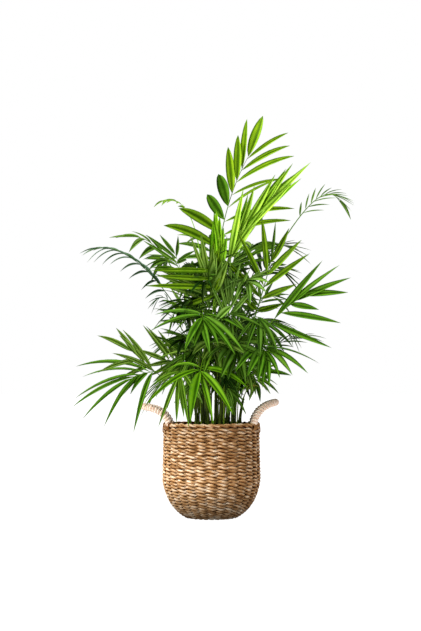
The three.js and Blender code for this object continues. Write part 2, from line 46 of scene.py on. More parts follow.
WHITE = (1, 1, 1, 1)
NO_TRIANGLES = np.zeros((0, 3), int)

# A strand's UV: V runs from its upper outer side, an eighth turn before outward, to the far side
TUBE_TOP = 0.625
TUBE_WRAP = 0.01

# The photograph's view
CAMERA = {"place": (0.0, -2.2, 0.267), "target": (-0.002, 0.0, 0.411), "frame_height": 1.30, "reach": 60}

# A soft sun from the upper left, an even surround, and a pale floor
LIGHT = {"key": 4.3, "key_from": (-1.15, -0.95, 1.2), "key_colour": (1.0, 0.98, 0.94), "softness": 50,
         "surround": 0.3}
FLOOR = {"Roughness": 0.9, "Base Color": (0.14, 0.14, 0.14, 1), "Specular IOR Level": 0.0,
         "Emission Color": WHITE, "Emission Strength": 1.02}

# The basket's outside profile, its weave and its border. A noise is the waves round a ring and their size,
# heights are a strand's half height where it crosses the other and where it lies open, and points are a
# slice of the profile's
BASKET = {"radius": 100, "mouth_radius": 98, "foot_radius": 52, "rim": 184, "corner_top": 75,
          "corner_pull": (92, 20), "lining": 1.0, "lining_facets": 64, "lining_points": (8, None, 12)}
WEAVE = {"depth": 4.7, "pitch": 6.75, "first_row": 6, "last_row": 3.6, "stakes": 28, "foot_stakes": 14,
         "stake_half_sizes": (1.1, 1.9), "stake_points": (110, None, 10), "steps": 10, "sides": 8,
         "heights": (0.8, 3.3), "half_thickness": 2.2, "swing": 3.0, "foot_swing": 0.7, "slant": 1.6,
         "wave": 0.45, "wave_draw": (0.4, 1.0), "drift": 0.2, "swing_noise": ((9, 17, 31), 0.25),
         "slant_noise": ((11, 23, 41), 0.3), "height_noise": ((13, 21, 37), 0.12)}
BORDER = {"middle": 95.0, "level": 187.6, "turns": 19, "steps": 22, "swing": 2.0, "lift": 0.8,
          "half_sizes": (2.6, 2.8), "drift_noise": ((2, 3, 5), 0.5), "swing_noise": ((9, 19, 33), 0.2),
          "lift_noise": ((7, 15, 29), 0.3), "height_noise": ((11, 23), 0.08)}
SOIL = {
    "top": 188,
    "edge": 87,
    "facets": 72,
    "rings": ((85.5, 150), (87, 176), (82, 179), (74, 182), (66, 184.5), (57, 186), (48, 187), (39, 187.5),
              (30, 188), (21, 188), (12, 188), (5, 188)),
    "rough_above": 178,
    "roughness": 0.8,
    "crumbs": 420,
    "crumb_size": (1.2, 3.4),
    "crumb_corners": (0.7, 1.2),
    "crumb_axes": (0.6, 1.2),
    "crumb": ((1, 0, 0), (0.3, 0.9, 0.1), (-0.8, 0.5, -0.1), (-0.7, -0.6, 0.1), (0.3, -0.9, 0), (0, 0, 0.8),
              (0, 0, -0.8)),
    "dome": (48, 0.006),
}

# The rope handles, the lashings at their feet and the tails of their ropes
HANDLE = {"radius": 7.2, "core": 5.2, "half_span": 44, "fullness": 0.7, "foot": (84, 187), "pitch": 6.0,
          "cord": (2.2, 2.9), "turn_steps": 18}
LOOPS = {
    "left": {"side": -1, "rise": (92, 220), "crest": (138, 224), "seed": 18},
    "right": {"side": 1, "rise": (92, 225), "crest": (131, 233), "seed": 17},
}
LASHING = {"middle": 94.5, "level": 184.9, "pitch": 4.6, "wide": 6.6, "tall": 7.2, "lean": 1.6,
           "half_sizes": (1.3, 2.2), "wide_draw": (-0.2, 0.2), "tall_draw": (-0.3, 0.4)}
TAIL = {"turn": 0.19, "radius": 99.6, "bulge": 2.6, "tuck": 4.5, "top": 193.0, "drop": 24.0,
        "half_sizes": (1.1, 1.5)}

# The canes: where each leaves the soil and where it ends. A knot and the waist over it are a size and a run
CANE = {"radius": (3.3, 2.5), "flare": 1.5, "flare_height": 14, "knot_gap": 27, "gap_draw": (0.85, 1.15),
        "bow": 1.6, "knot": (0.75, 2.0), "waist": (0.25, 1.6), "waist_above": 4.5, "step": 2.2}
CANES = [
    ((-28, -22), (-42, -30, 318)),
    ((-6, -38), (-12, -58, 335)),
    ((18, -32), (26, -48, 345)),
    ((42, -16), (58, -24, 312)),
    ((-16, 6), (-26, 4, 392)),
    ((8, -4), (8, 0, 410)),
    ((34, 12), (48, 16, 395)),
    ((-6, 34), (-14, 48, 372)),
    ((24, 40), (34, 58, 350)),
    ((57, -2), (65, -8, 240)),
]

# Thin young stalks between the canes. Most share the canes' colour with its painted shade, the rest a
# brighter green
STALKS = {"count": 44, "seed": 7, "across": (-46, 52), "deep": (-44, 44), "below": 12.0, "spread": 1.25,
          "stray": 8, "bow": 4, "high": (285, 370), "radius": (1.1, 1.9), "taper": 0.35, "bright": 0.3}

# The rib of a frond and its leaflets, by the same rule as the solids
RIB = {"radius": (2.0, 0.55), "steps": 26, "sides": 7, "sheath": (0.9, 0.05), "flatness": 0.85, "slim": 0.8,
       "slim_under_width": 10}
LEAFLET = {"steps": 9, "fold": 0.68, "fold_draw": (0.6, 1.25), "curl_draw": (-0.03, 0.07), "twist": 22,
           "thickness": 0.006, "last_start": 0.98, "swing": 4, "swing_step": 2.4, "opening_draw": 7,
           "easing": 1.6, "least_length": 0.7, "length_draw": (0.8, 1.12), "least_width": 0.8,
           "cup_draw": (0.4, 1.6), "swell_start": 0.15, "swell_run": 0.75, "end_length": 0.85,
           "favourite_share": 0.6}
# A leaflet's section: how far across each corner lies and how far it sinks to the underside
SECTION = {"across": (-1.0, -0.5, 0.0, 0.5, 1.0, 0.5, 0.0, -0.5),
           "sink": (0.0, 0.0, 0.0, 0.0, 0.0, 0.6, 1.0, 0.6), "sharp": (0, 2, 4)}
# A leaflet's outline: the powers of its length and of its width
FORMS = {"blunt": (1.15, 0.6), "lens": (0.95, 0.7), "lance": (0.78, 0.9)}
RAISED = (0, -0.8, 1)
FRONTAL = (0, -1, 0)
# A plain frond. A side holds its leaflets' openings, lengths, widths and sags: two values ease from the first
# pair to the last, and more are one for each pair. The end is the opening, length and width at the tip
PLAIN = {"bare": 0.45, "pairs": 6, "leaf": 88, "width": 12, "sides": ((68, 25),), "sag": 0.3, "cup": 0,
         "face": (0, 0, 1), "tint": None, "left_tint": {}, "blunt": (), "form": "lance", "end": (0,),
         "shift": (0.15, 0.6)}


def row(name, cane, at, over, tip, tone="mid", **own):
    """A frond: the cane it leaves and where, its rib's middle and tip, its tone, and what isn't plain."""
    return {**PLAIN, "name": name, "cane": cane, "at": at, "over": over, "tip": tip, "tone": tone, **own}


FRONDS = [
    # The tall one and the two that are still unfolding
    row("top", 5, 1, (4, 4, 610), (77, 20, 746), "fresh", bare=0.36, pairs=7, width=15,
        left=((61, 61, 47, 32, 24, 20, 19), (145, 114, 66, 72, 97, 97, 108), (20, 22, 22, 24, 20, 17, 14),
              (0.4, 0.2, 0.1, 0.05, 0.02, 0, 0)),
        right=((54, 54, 36, 41, 33, 28, 21), (162, 160, 134, 124, 152, 130, 116),
               (11, 11, 7, 7, 12, 11, 9), (0.26, 0.26)),
        # The first four pairs on the left take darker tints: painted shade
        sag=0.02, cup=0.06, end=(-9, 96, 21), face=(0, -1, 0.1), tint=0, left_tint={0: 1, 1: 1, 2: 2, 3: 2},
        blunt=(2, 3), form="lens", shift=(0.15, 1)),
    row("spear_right", 2, 1, (8, -38, 520), (84, -26, 612), "lime", bare=0.55, width=15,
        left=((5, 4, 5, -3, -4, -2), (154, 130, 132, 152, 158, 158)),
        right=((14, 15, 16, 16, 16, 9), (136, 132, 154, 152, 156, 178)), sag=0.02, cup=0.1, end=(5, 138),
        face=(0.2, -1, 0.3)),
    row("spear_left", 1, 1, (10, -54, 440), (10, -50, 515), "lime", bare=0.72, pairs=3, width=17,
        left=((9, 6, 4), (106, 112, 118)), right=((11, 7, 3), (90, 94, 102)), sag=0, cup=0.1, end=(0, 108),
        face=FRONTAL),

    # The two that point at the viewer
    row("front_low", 1, 0.86, (-12, -130, 345), (-22, -172, 290), "fresh", bare=0.88, pairs=3,
        left=((149, 104, 53), (116, 92, 88), (12, 14, 15)),
        right=((121, 75, 3), (92, 108, 88), (8, 11, 21)), sag=0.5, end=(-25, 90, 11), face=(0, -0.3, 1),
        tint=3),
    row("front_middle", 4, 0.86, (-14, -110, 448), (-18, -150, 392), "fresh", bare=0.85, pairs=4,
        left=((76, 47, 41, 31), (84, 112, 100, 66), (12, 15, 16, 16)),
        right=((114, 82, 22, 12), (105, 102, 80, 60), (12, 14, 17, 13)), sag=0.25, end=(-16, 70, 13),
        face=(0, -0.6, 1), tint=2),

    # The right side
    row("right_middle", 3, 1, (93, -42, 418), (120, -30, 516), "fresh", bare=0.5, pairs=4, width=13,
        left=((62, 58, 43, 21), (34, 112, 122, 124)), right=((57, 50, 37, 28), (58, 80, 116, 102)),
        sag=0.06, cup=0.14, end=(12, 86), face=(0, -1, 0.2), tint=1, shift=(0.15, 0.05)),
    row("right", 3, 0.85, (102, -58, 392), (178, -74, 446), "fresh", bare=0.58, pairs=3, width=13,
        left=((5, -2, -13), (158, 150, 130)), right=((68, 49, 47), (128, 124, 60)), sag=0.08, end=(28, 96),
        face=(0, -1, 0.3), tint=2, shift=(0.35, 0.05)),
    row("right_low", 3, 0.68, (82, -92, 374), (105, -140, 331), "fresh", bare=0.8, pairs=4,
        left=((67, 36, 20, 1), (116, 98, 78, 70), (14, 19, 16, 14)),
        right=((60, 44, 32, 27), (92, 90, 92, 88), (15, 17, 14, 13)), end=(18, 80), face=(0, -0.3, 1),
        tint=2),
    row("right_foot", 9, 1, (72, -16, 262), (78, -26, 266), "yellowing", bare=0.5, pairs=3, leaf=24,
        width=6, sides=((66, 30),), sag=0.5),
    row("right_wispy", 8, 1, (222, 92, 746), (276, 98, 668), "olive", bare=0.5, pairs=9, leaf=54,
        left=((40, 14), None, (5, 2.5)), right=((46, 16), None, (4, 2.5)), sag=0.2, face=(0, -0.7, 1)),
    row("right_back", 8, 0.76, (95, 105, 610), (172, 126, 566), "dark", bare=0.5, pairs=7, leaf=66, width=6,
        sag=0.14),
    row("right_shade", 6, 0.95, (105, 62, 560), (156, 84, 506), "dark", pairs=7, leaf=68, width=7, sag=0.14,
        face=(0, -0.5, 1)),

    # The left side
    row("left_high", 7, 0.72, (-130, 60, 560), (-238, 78, 561), "bluish", bare=0.36, pairs=8, leaf=54,
        width=7, left=((60, 26), None, (6, 4), (0.65, 0.65)), right=((7, 5), (58, 50), (12, 8), (0.2, 0.4)),
        sag=0.25, face=(0, -0.4, 1)),
    row("left_top", 4, 1, (-96, 2, 573), (-157, 2, 574), "olive", pairs=3,
        left=((58, 50), (50, 44), None, (0.6, 0.6)), right=((3, 1), (66, 54), None, (0.3, 0.3)), sag=0.04,
        end=(0, 56, 10), face=(0, -0.5, 1)),
    row("left_level", 5, 0.7, (8, -96, 420), (5, -118, 508), "fresh", bare=0.62, pairs=4,
        left=((106, 85, 82, 84), (92, 138, 118, 124)), right=((30, 16), (50, 40)), sag=0.08, end=(0, 44, 7),
        face=(0, -0.9, 0.5), tint=1),
    row("left_small", 1, 0.7, (-52, -54, 480), (-73, -54, 531), "olive", bare=0.84, pairs=2, width=8,
        left=((38, 31), (88, 78)), right=((112, 8), (42, 44)), sag=0.05, end=(-15, 52), face=(0, -1, 0.2)),
    row("left_wispy", 7, 1, (-14, 60, 681), (-100, 90, 665), "lime", bare=0.68, pairs=4, leaf=32, width=7,
        sides=((60, 30),)),
    row("left_tuft", 7, 0.5, (-62, 62, 412), (-108, 72, 428), "dark", bare=0.6, pairs=5, leaf=22, width=3),
    row("left_middle", 4, 0.7, (0, -70, 420), (-2, -96, 466), bare=0.7, pairs=4, width=10,
        left=((74, 65, 61, 18), (118, 126, 134, 130)),
        right=((17, 14, 7, 3), (102, 86, 86, 94), (19, 19, 18, 16)), sag=0.1, end=(-7, 116, 14),
        face=(0, -0.9, 0.5), tint=1),
    row("left_fan", 0, 1, (-62, -46, 320), (-88, -62, 316), bare=0.3, pairs=4, width=10,
        left=((38, 33, 23, 5), (82, 82, 74, 64)), right=((45, 58, 55, 62), (62, 74, 90, 88)), sag=0,
        end=(28, 66), face=(0, -1, 0.1), tint=1),
    row("left_low", 0, 0.48, (-82, -60, 262), (-155, -88, 333), bare=0.66, pairs=3, width=10,
        left=((3, 47, 42), (110, 70, 90)), right=((19, 12, 15), (112, 88, 80)), sag=0.25, end=(-8, 88),
        face=(0, -1, 0.3), tint=1),
    row("left_foot", 0, 0.68, (-92, -82, 312), (-152, -112, 282), "fresh", bare=0.68, pairs=4, width=11,
        left=((45, 21, 12, 23), (134, 54, 68, 108), None, (0.45, 0.45)),
        right=((63, 54, 27, 22), (172, 132, 130, 124), None, (0.32, 0.32)), sag=0.26, end=(-3, 118),
        face=(0, -0.6, 0.8), tint=2),
    row("left_back_low", 7, 0.3, (-66, 66, 316), (-112, 76, 264), bare=0.5, pairs=5, leaf=70, width=6,
        sag=0.5),

    # The middle of the front
    row("centre_high", 2, 0.84, (30, -80, 380), (36, -88, 432), "olive", bare=0.66, pairs=3,
        left=((30, 20, 12), (110, 110, 106), (7, 8, 9)), right=((34, 20, 8), (86, 96, 92), (10, 8, 7)),
        sag=0.04, end=(-6, 84, 9), face=FRONTAL, tint=2),
    row("centre", 2, 0.66, (30, -100, 440), (36, -128, 398), bare=0.76, pairs=4, leaf=68, width=8,
        sides=((82, 34),), sag=0.2, face=RAISED, tint=2),
    row("centre_low", 2, 0.48, (38, -112, 386), (50, -138, 336), "dark", bare=0.7, pairs=4, leaf=80,
        width=17, sides=((78, 30),), sag=0.16, face=RAISED, tint=2),
    row("front_right", 3, 0.5, (76, -100, 440), (94, -128, 392), bare=0.84, pairs=3,
        left=((3, -5, -8), (88, 102, 68), (5, 13, 6)), right=((57, 43, 22), (90, 84, 78), (6, 8, 13)),
        sag=0.25, end=(16, 62), face=RAISED, tint=2),
    row("front_left", 0, 0.85, (-52, -96, 340), (-65, -120, 278), bare=0.82, pairs=3, width=9,
        left=((48, 24, 20), (64, 104, 80)), right=((63, 10, 9), (64, 102, 60)), end=(-10, 80), face=RAISED,
        tint=0),
    row("inner_front", 1, 0.6, (-6, -98, 376), (4, -126, 342), bare=0.6, pairs=4, leaf=74, width=17,
        sag=0.2, face=RAISED),
    row("inner_left", 4, 0.25, (-42, -60, 372), (-52, -100, 356), "dark", bare=0.6, pairs=5, leaf=70,
        sag=0.25, face=RAISED),
    row("inner_right", 6, 0.26, (92, -28, 352), (90, -84, 350), "dark", bare=0.6, pairs=5, leaf=66,
        width=11, sag=0.25, face=RAISED),
    row("inner_low", 3, 0.32, (56, -84, 326), (66, -114, 300), bare=0.55, pairs=4, leaf=62, width=11,
        face=RAISED),
    row("inner_high", 6, 0.7, (70, -40, 500), (72, -86, 470), "olive", bare=0.6, pairs=5, leaf=78, width=13,
        sag=0.2, face=RAISED, tint=2),

    # The back
    row("back_high", 6, 0.78, (80, 96, 590), (96, 160, 576)),
    row("back_top", 5, 0.84, (4, 70, 600), (-10, 130, 590), "olive"),
    row("back_left_high", 4, 0.55, (-62, 80, 570), (-100, 130, 540), leaf=76),
    row("back_left", 7, 0.86, (-56, 142, 500), (-84, 214, 430), pairs=7, leaf=70, width=5),
    row("back", 8, 0.68, (40, 150, 520), (48, 236, 440), pairs=7, leaf=96),
    row("back_right", 8, 0.54, (94, 140, 460), (122, 184, 392), pairs=7, leaf=78),
    row("back_low", 7, 0.14, (-26, 130, 380), (-30, 206, 316), "dark"),
    row("back_right_low", 8, 0.4, (64, 120, 350), (84, 176, 300), "dark", leaf=74),
    row("back_left_low", 4, 0.4, (-70, 86, 400), (-96, 148, 350), "dark", leaf=68, width=8),
    row("side_right", 6, 0.6, (128, 56, 450), (170, 74, 374), "dark", pairs=7, leaf=46, width=4),
    row("side_right_low", 6, 0.42, (86, 6, 306), (92, -18, 274), bare=0.62, pairs=4, leaf=48, width=9,
        sides=((74, 30),), sag=0.35, face=(0, -0.5, 1)),
    row("middle", 5, 0.66, (30, 30, 500), (70, 40, 540), "dark", leaf=84),
]

# Fine sprays that only the scene has
FINE = [
    row("fine_right_slim", 3, 0.98, (110, -40, 470), (121, -30, 520), "olive", bare=0.9, pairs=1, leaf=34,
        width=5, left=((20, 20),), right=((70, 70),), sag=0.03, end=(-5, 88, 7), face=(0, -1, 0.2)),
    row("fine_right_wisps", 8, 0.3, (110, 66, 366), (200, 70, 372), "dark", bare=0.5, leaf=52, width=4,
        left=((34, 12),), right=((46, 16),), sag=0.2, face=(0, -0.6, 1)),
    row("fine_right_foot", 3, 0.3, (78, -55, 300), (98, -60, 295), "fresh", bare=0.7, pairs=2, leaf=40,
        width=8, left=((10, 8),), right=((50, 44),), sag=0.15, end=(-24, 62, 10), face=RAISED),
    row("fine_left_wisps", 7, 0.66, (-92, 40, 480), (-112, 50, 448), "bluish", bare=0.6, pairs=3, leaf=34,
        width=4, left=((50, 30),), right=((40, 20),), sag=0.4, face=(0, -0.5, 1)),
    row("fine_bluish", 2, 0.55, (58, -116, 438), (40, -128, 421), "olive", bare=0.9, pairs=0, sag=0.04,
        end=(0, 56, 16), face=(0, -1, 0.6), tint=2),
]

# Smaller fronds that fill the inside of the crown, grown by the same rule from seeded draws. Half of them
# take the dark tone, a painted shade
FILL = {"canes": 9, "edge": (-50, -120), "rise": 30, "width_draw": (0.8, 1.2), "sag": (0.15, 0.4),
        "face": (0, -0.6, 1), "tones": ("mid", "dark", "olive", "dark")}
FILLS = (
    {"count": 34, "seed": 11, "at": (0.35, 0.98), "reach": (35, 95), "low": 250, "high": 520,
     "leaf": (48, 82), "width": 8},
    {"count": 10, "seed": 12, "at": (0.1, 0.5), "reach": (10, 40), "low": 215, "high": 285,
     "leaf": (36, 56), "width": 7},
)

# Leaf colours as seen: a few tints for each tone, dealt out leaflet by leaflet, with the pale one below
PALE = 2
TINTS = {
    "lime": ("7cb61a", "68a412", "8ec22e"),
    "fresh": ("6c9a0e", "58820c", "3e6e0c", "487a06"),
    "mid": ("4a7412", "628826", "365e0e"),
    "olive": ("4f7a1c", "436c18", "5f8a2a"),
    "bluish": ("385a2c", "2e4a28", "4a6c3e"),
    # The dark tone is leaf green darkened as painted shade, for the fronds inside the crown, at its back and
    # its sides
    "dark": ("163808", "0c2403", "3c6412"),
    "yellowing": ("808a2c", "94882c", "6c7c26"),
}
# A leaf's gloss, and how much darker and lighter its grain and its streaks make it. The streaks are partly
# the leaf's own and partly painted shade and a pale painted highlight
LEAF = {"roughness": 0.42, "under_roughness": 0.6,
        "gloss": {"Specular IOR Level": 0.2, "Specular Tint": (0.7, 1.0, 0.15, 1.0)},
        "deep": (0.78, 0.84, 0.8), "pale": (1.28, 1.14, 1.1),
        "streaks": ((0.14, (0.34, 0.42, 0.24, 1)), (0.5, (0.95, 0.95, 0.9, 1)), (0.9, (1.75, 1.52, 3.2, 1)))}
STEM_GLOSS = {"Specular IOR Level": 0.15, "Specular Tint": (0.8, 1.0, 0.4, 1.0)}

# Dry fibres: their dark, middle and light, the size of their patches, and how far the foot and the far
# side of each strand get painted shade, with a painted highlight on each strand's upper outer side
FIBRE = {"gloss": {"Specular IOR Level": 0.03, "Sheen Roughness": 0.6}, "patch_share": 0.6,
         "foot_height": 0.08, "outer": (0.14, (1.26, 1.33, 1.36, 1)),
         "flank": (0.38, (0.72, 0.56, 0.42, 1)), "far": 0.58, "relief_depth": 0.0012}
FIBRES = {
    # The wicker's under is the painted shade on each strand's far side, its foot_shade the painted shade at
    # the foot
    "wicker": {"colours": ("502604", "ba8d5e", "fee9ce"), "patch_size": (60, 60, 150), "roughness": 0.75,
               "relief": 0.8, "foot_shade": 0.15, "under": (0.12, 0.035, 0.004, 1)},
    # A dark copy of the wicker for the lining and the stakes: painted shade in the weave's gaps
    "wicker_painted_shade": {"colours": ("150903", "25140a", "3a2210"), "patch_size": (60, 60, 90), "roughness": 0.9,
                     "relief": 0.4},
    "rope": {"colours": ("eccab0", "fae0cc", "fff2e6"), "patch_size": (90, 90, 90), "roughness": 0.8,
             "relief": 0.5, "sheen": 0.8},
    # The rope core's colour, darker than the rope: painted shade in the grooves between the wraps
    "rope_painted_groove_shade": {"colours": ("a07c5c", "b8947a", "cfae94"), "patch_size": (90, 90, 90), "roughness": 0.9,
                    "relief": 0.5, "sheen": 0.4},
    "rope_tail": {"colours": ("6b4322", "94683f", "b98d62"), "patch_size": (90, 90, 90), "roughness": 0.85,
                  "relief": 0.5},
}

# The sockets of a colour mix: its share, its two colours and its result
MIX_SHARE, MIX_FIRST, MIX_SECOND, MIX_RESULT = 0, 6, 7, 2


def linear(hexes):
    """The linear colour of six sRGB hex digits, with full alpha."""
    out = []
    for start in (0, 2, 4):
        value = int(hexes[start:start + 2], 16) / 255
        out.append(value / 12.92 if value <= 0.04045 else ((value + 0.055) / 1.055) ** 2.4)
    return (*out, 1.0)


def unit(vectors):
    """Each vector at length one."""
    vectors = np.asarray(vectors, float)
    return vectors / np.maximum(np.linalg.norm(vectors, axis=-1, keepdims=True), 1e-12)


class Shape:
    """Gathers the corners and faces of one joined piece."""

    def __init__(self):
        self.forms = []
        self.count = 0

    def add(self, corners, uvs, quads, triangles, rim=False, quad_slots=0, triangle_slots=0):
        """Takes one closed form. Its rim is where corners are sharp, its slots are its faces' materials."""
        self.forms.append((
            corners, uvs, np.broadcast_to(rim, len(corners)), quads + self.count, triangles + self.count,
            np.broadcast_to(quad_slots, len(quads)), np.broadcast_to(triangle_slots, len(triangles)),
        ))
        self.count += len(corners)

    def piece(self, name, slot, materials, stands_for=()):
        """Makes the mesh, gives it its materials, and lets it ride on the frame."""
        corners, uvs, rims, quads, triangles, *slots = (np.concatenate(rows) for rows in zip(*self.forms))
        mesh = bpy.data.meshes.new(name)
        mesh.from_pydata(corners, [], [*quads.tolist(), *triangles.tolist()], shade_flat=False)
        mesh.polygons.foreach_set("material_index", np.concatenate(slots).astype(np.int32))
        loops = np.concatenate([quads.ravel(), triangles.ravel()])
        layer = mesh.uv_layers.new(name="UVMap")
        layer.data.foreach_set("uv", uvs[loops].astype(np.float32).ravel())
        if rims.any():
            ends = np.empty(len(mesh.edges) * 2, np.int32)
            mesh.edges.foreach_get("vertices", ends)
            sharp = mesh.attributes.new("sharp_edge", "BOOLEAN", "EDGE")
            sharp.data.foreach_set("value", rims[ends[0::2]] & rims[ends[1::2]])
        for material in materials:
            mesh.materials.append(material)
        mesh.validate()
        mesh.update()
        item = bpy.data.objects.new(name, mesh)
        bpy.context.scene.collection.objects.link(item)
        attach(item, "root")
        if stands_for:
            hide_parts(*stands_for)


def grid_quads(rings, sides, closed):
    """The quads between rings of corners, numbered ring by ring."""
    low = np.arange(rings if closed else rings - 1)[:, None]
    side = np.arange(sides)[None, :]
    high = (low + 1) % rings
    after = (side + 1) % sides
    quads = np.stack([low * sides + side, low * sides + after, high * sides + after, high * sides + side], -1)
    return quads.reshape(-1, 4)


def end_caps(rings, sides):
    """The triangles that close the first ring and the last."""
    last = (rings - 1) * sides
    fan = np.arange(1, sides - 1)
    return np.concatenate([
        np.stack([np.zeros_like(fan), fan + 1, fan], -1),
        np.stack([np.full_like(fan, last), last + fan, last + fan + 1], -1),
    ])


def between(first, last, share):
    """The value at a share of the way from the first to the last."""
    return first + (last - first) * share


def bend(start, pull, end, share):
    """A place on the curve from start to end that is pulled towards a third point."""
    return start * (1 - share) ** 2 + 2 * pull * share * (1 - share) + end * share ** 2


def swelling(distance, size, run):
    """A soft bulge of some size that fades out over a run."""
    return size * np.exp(-(distance / run) ** 2)


def ring_angles(count):
    """Even angles all the way round."""
    return np.arange(count) / count * 2 * np.pi


def around(angles, radius, height):
    """Points round the upright axis, or one side of it for a single angle."""
    return np.stack(np.broadcast_arrays(radius * np.cos(angles), radius * np.sin(angles), height), -1)


def run_length(points):
    """How far along a line each of its points lies."""
    return np.concatenate([[0.0], np.cumsum(np.linalg.norm(np.diff(points, axis=0), axis=1))])


def spots_at(places, length, points):
    """The spots at some places along a line."""
    return np.stack([np.interp(places, length, column) for column in points.T], -1)


def frames(path, out, closed=False):
    """Along, outward and sideways directions at each point of a path, with outward kept near out."""
    if closed:
        along = np.roll(path, -1, 0) - np.roll(path, 1, 0)
    else:
        along = np.gradient(path, axis=0)
    along = unit(along)
    outward = unit(out - along * np.sum(out * along, -1, keepdims=True))
    return along, outward, np.cross(along, outward)


def tube(shape, path, out, thick, high, sides, closed=False, slot=0):
    """A rounded strand along a path. Its half sizes are thick, outward, and high, sideways."""
    path = path * MM
    rings = len(path)
    _, outward, sideways = frames(path, out, closed)
    angles = ring_angles(sides)
    thick = np.broadcast_to(thick * MM, rings)[:, None, None]
    high = np.broadcast_to(high * MM, rings)[:, None, None]
    corners = (
        path[:, None, :]
        + outward[:, None, :] * np.cos(angles)[None, :, None] * thick
        + sideways[:, None, :] * np.sin(angles)[None, :, None] * high
    ).reshape(-1, 3)
    from_top = np.abs((np.arange(sides) / sides + TUBE_TOP) % 1 * 2 - 1)
    uvs = np.stack([np.repeat(run_length(path), sides), np.tile(from_top, rings) * TUBE_WRAP], -1)
    caps = NO_TRIANGLES if closed else end_caps(rings, sides)
    shape.add(corners, uvs, grid_quads(rings, sides, closed), caps, quad_slots=slot, triangle_slots=slot)


def ring_noise(rng, angles, waves, size):
    """A wobble that closes on itself round a ring."""
    total = np.zeros_like(angles)
    for wave in waves:
        total += np.sin(angles * wave + rng.uniform(0, 2 * np.pi)) * rng.uniform(0.6, 1.0)
    return total * size / math.sqrt(len(waves))


def basket_profile():
    """The outside of the basket from the middle of its foot to its rim, every half millimetre: how far
    along, where, and which way is outward."""
    share = np.linspace(0, 1, 60)[:, None]
    foot = np.array([BASKET["foot_radius"], 0.0])
    side = np.array([BASKET["radius"], BASKET["corner_top"]], float)
    corner = bend(foot, np.array(BASKET["corner_pull"]), side, share)
    line = np.concatenate([[[0.0, 0.0]], corner, [[BASKET["mouth_radius"], BASKET["rim"]]]])
    length = run_length(line)
    even = np.arange(0, length[-1], 0.5)
    spots = spots_at(even, length, line)
    slope = unit(np.gradient(spots, axis=0))
    return even, spots, np.stack([slope[:, 1], -slope[:, 0]], -1)


def weave_rows():
    """Radius, height and outward direction of each row of the weave."""
    length, line, outward = basket_profile()
    places = np.arange(length[-1] - WEAVE["last_row"], WEAVE["first_row"], -WEAVE["pitch"])[::-1]
    rows = []
    for place in places:
        out = unit(spots_at(place, length, outward))
        rows.append((spots_at(place, length, line) - out * WEAVE["depth"], out))
    return rows


def weave_strand(shape, rng, row, out, phase, wave):
    """One of the two strands that twist about each other between the stakes of a row."""
    on_foot = row[0] < BASKET["foot_radius"] - WEAVE["depth"]
    stakes = WEAVE["foot_stakes"] if on_foot else WEAVE["stakes"]
    angles = ring_angles(stakes * WEAVE["steps"])
    cycle = angles * stakes / 2 + phase
    front = np.sign(np.cos(cycle)) * np.abs(np.cos(cycle)) ** 0.85
    scale = WEAVE["foot_swing"] if on_foot else 1.0
    swing = WEAVE["swing"] * front * scale + ring_noise(rng, angles, *WEAVE["swing_noise"])
    slant = -WEAVE["slant"] * np.sin(cycle) + wave(angles) + ring_noise(rng, angles, *WEAVE["slant_noise"])
    high = between(*WEAVE["heights"], np.abs(np.cos(cycle)) ** 0.65)
    high = high * (1 + ring_noise(rng, angles, *WEAVE["height_noise"]))
    path = around(angles, row[0] + out[0] * swing - out[1] * slant, row[1] + out[1] * swing + out[0] * slant)
    tube(shape, path, around(angles, *out), WEAVE["half_thickness"], high, WEAVE["sides"], closed=True)


def basket_weave():
    """The rows of the wall, in a lower and an upper piece."""
    rng = np.random.default_rng(3)
    rows = weave_rows()
    shapes = (Shape(), Shape())
    for number, (row, out) in enumerate(rows):
        drift = rng.uniform(-WEAVE["drift"], WEAVE["drift"])
        turn, lean = rng.uniform(0, 2 * math.pi, 2)
        height = WEAVE["wave"] * rng.uniform(*WEAVE["wave_draw"])
        for strand in (0, 1):
            weave_strand(
                shapes[number >= len(rows) // 2], rng, row, out, math.pi * strand + drift,
                lambda angles: height * (np.sin(7 * angles + turn) + 0.6 * np.sin(4 * angles + lean)),
            )
    return shapes


def basket_lining():
    """A thin dark skin behind the weave, a sheet of painted shade seen through its gaps."""
    _, line, outward = basket_profile()
    depth = WEAVE["depth"] + WEAVE["swing"]
    points = slice(*BASKET["lining_points"])
    outer, inner = ((line - outward * one)[points] for one in (depth, depth + BASKET["lining"]))
    profile = np.concatenate([outer, inner[::-1]])
    facets = BASKET["lining_facets"]
    corners = np.concatenate([around(ring_angles(facets), *spot) for spot in profile]) * MM
    shape = Shape()
    shape.add(corners, corners[:, :2] * 0, grid_quads(len(profile), facets, True), NO_TRIANGLES)
    return shape


def basket_stakes():
    """The upright stakes inside the weave, which show in its gaps."""
    _, line, outward = basket_profile()
    points = slice(*WEAVE["stake_points"])
    middle = (line - outward * WEAVE["depth"])[points]
    out = outward[points]
    shape = Shape()
    for stake in range(WEAVE["stakes"]):
        angle = 2 * math.pi * (stake + 0.5) / WEAVE["stakes"]
        tube(shape, around(angle, *middle.T), around(angle, *out.T), *WEAVE["stake_half_sizes"], sides=6)
    return shape


def basket_border():
    """A band round the mouth, of two thick strands twisted about each other."""
    rng = np.random.default_rng(5)
    shape = Shape()
    angles = ring_angles(BORDER["turns"] * BORDER["steps"])
    drift = ring_noise(rng, angles, *BORDER["drift_noise"])
    thick, high = BORDER["half_sizes"]
    for strand in (0, 1):
        cycle = -angles * BORDER["turns"] + strand * np.pi
        swing = BORDER["swing"] * np.cos(cycle) + ring_noise(rng, angles, *BORDER["swing_noise"])
        lift = BORDER["swing"] * np.sin(cycle) * BORDER["lift"] + drift
        lift = lift + ring_noise(rng, angles, *BORDER["lift_noise"])
        path = around(angles, BORDER["middle"] + swing, BORDER["level"] + lift)
        tube(shape, path, around(angles, 1.0, 0.0), thick,
             high * (1 + ring_noise(rng, angles, *BORDER["height_noise"])), sides=9, closed=True)
    return shape


